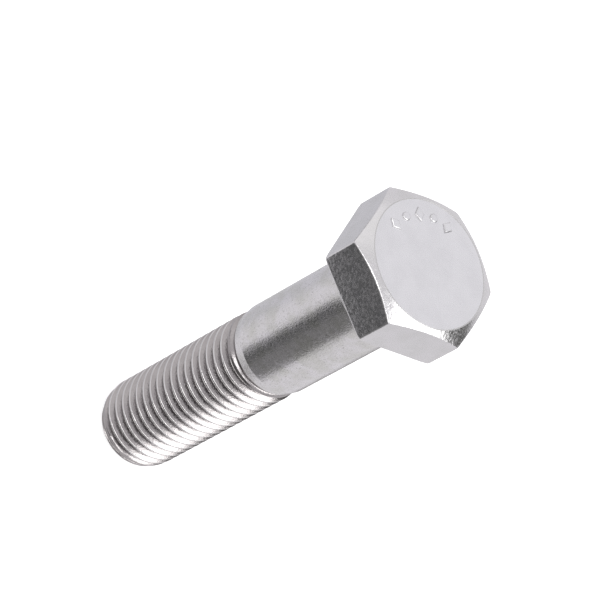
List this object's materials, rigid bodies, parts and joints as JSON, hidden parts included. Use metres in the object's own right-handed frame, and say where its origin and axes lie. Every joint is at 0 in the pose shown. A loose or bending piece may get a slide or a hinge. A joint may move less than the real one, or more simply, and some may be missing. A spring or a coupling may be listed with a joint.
{
  "type": "hex bolt",
  "caption": "Stainless steel hex bolt, M16 x 70 mm, partly threaded, with plain raised marks on its chamfered head.",
  "frame": {"origin": "centre of the bearing face under the head, on the bolt's axis", "axes": "+Z along the axis towards the head, so the shank and thread run towards -Z; two corners of the hexagon lie on the X axis and two flats face -Y and +Y"},
  "size_m": [0.0276, 0.024, 0.0803],
  "materials": {
    "stainless": "bright cold-forged austenitic stainless steel"
  },
  "bodies": {
    "root": {"hex_bolt": "stainless"}
  },
  "joints": []
}
